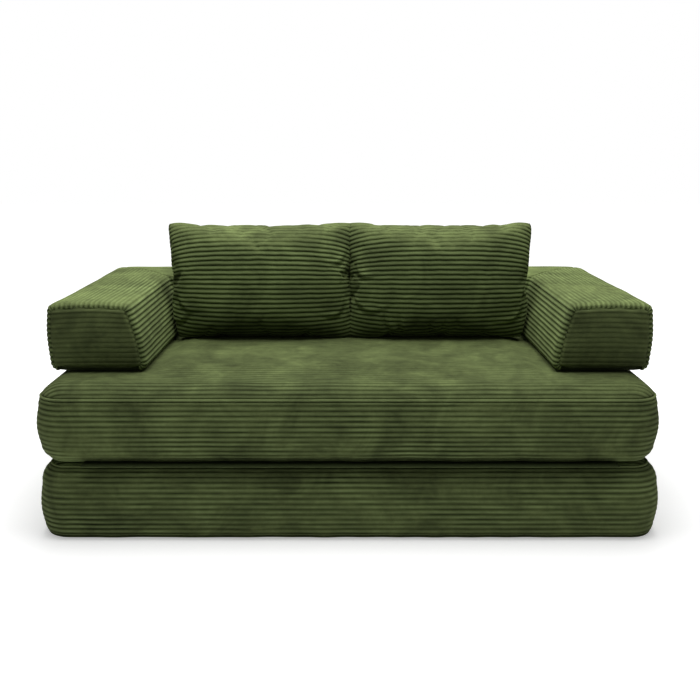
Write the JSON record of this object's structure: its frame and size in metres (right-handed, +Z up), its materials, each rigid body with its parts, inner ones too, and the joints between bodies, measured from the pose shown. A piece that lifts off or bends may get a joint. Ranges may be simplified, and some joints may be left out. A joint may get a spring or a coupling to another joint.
{
  "type": "sofa bed",
  "caption": "Corduroy sofa bed: a foam mattress that swings out from under the seat on a fabric hinge, a U-shaped bolster for arms and back, and loose pillows.",
  "frame": {"origin": "on the floor, under the middle of the sofa's width and depth, with the bed folded up", "axes": "+Z up, the front of the sofa faces -Y, +X is on the right of someone who looks at its front"},
  "size_m": [1.75, 0.9995, 0.8406],
  "materials": {
    "corduroy": "matte",
    "hinge_cloth": "matte",
    "foam": "matte",
    "fibre_fill": "matte",
    "zip_tape": "matte",
    "zip_slider_metal": "satin",
    "hook_and_loop": "matte"
  },
  "bodies": {
    "seat": {"seat_cover": "corduroy", "seat_foam": "foam", "seat_zip": "zip_tape", "hinge_fabric_upper": "hinge_cloth", "bolster_cover": "corduroy", "left_arm_foam": "foam", "right_arm_foam": "foam", "back_foam": "foam", "bolster_zip": "zip_tape", "left_arm_hook_tape": "hook_and_loop", "right_arm_hook_tape": "hook_and_loop", "back_hook_tape": "hook_and_loop", "left_arm_loop_tape": "hook_and_loop", "right_arm_loop_tape": "hook_and_loop", "back_loop_tape": "hook_and_loop"},
    "fold_out": {"fold_out_cover": "corduroy", "fold_out_foam": "foam", "fold_out_zip": "zip_tape", "hinge_fabric_lower": "hinge_cloth"},
    "seat_zip_slider": {"seat_zip_slider": "zip_slider_metal"},
    "fold_out_zip_slider": {"fold_out_zip_slider": "zip_slider_metal"},
    "bolster_zip_slider": {"bolster_zip_slider": "zip_slider_metal"},
    "left_pillow": {"left_pillow_cover": "corduroy", "left_pillow_filling": "fibre_fill", "left_pillow_zip": "zip_tape"},
    "left_pillow_zip_slider": {"left_pillow_zip_slider": "zip_slider_metal"},
    "right_pillow": {"right_pillow_cover": "corduroy", "right_pillow_filling": "fibre_fill", "right_pillow_zip": "zip_tape"},
    "right_pillow_zip_slider": {"right_pillow_zip_slider": "zip_slider_metal"}
  },
  "joints": [
    {"name": "bed_fold", "type": "hinge", "parent": "seat", "child": "fold_out", "pos_m": [0, -0.5, 0.225], "axis": [-1, 0, 0], "range_deg": [0, 180]},
    {"name": "left_pillow_lift", "type": "slide", "parent": "seat", "child": "left_pillow", "axis": [0, 0, 1], "range_m": [0, 0.45]},
    {"name": "right_pillow_lift", "type": "slide", "parent": "seat", "child": "right_pillow", "axis": [0, 0, 1], "range_m": [0, 0.45]},
    {"name": "seat_zip_slide", "type": "slide", "parent": "seat", "child": "seat_zip_slider", "axis": [-1, 0, 0], "range_m": [0, 1.26]},
    {"name": "fold_out_zip_slide", "type": "slide", "parent": "fold_out", "child": "fold_out_zip_slider", "axis": [-1, 0, 0], "range_m": [0, 1.26]},
    {"name": "bolster_zip_slide", "type": "slide", "parent": "seat", "child": "bolster_zip_slider", "axis": [-1, 0, 0], "range_m": [0, 1.16]},
    {"name": "left_pillow_zip_slide", "type": "slide", "parent": "left_pillow", "child": "left_pillow_zip_slider", "axis": [-1, 0, 0], "range_m": [0, 0.36]},
    {"name": "right_pillow_zip_slide", "type": "slide", "parent": "right_pillow", "child": "right_pillow_zip_slider", "axis": [-1, 0, 0], "range_m": [0, 0.36]}
  ]
}
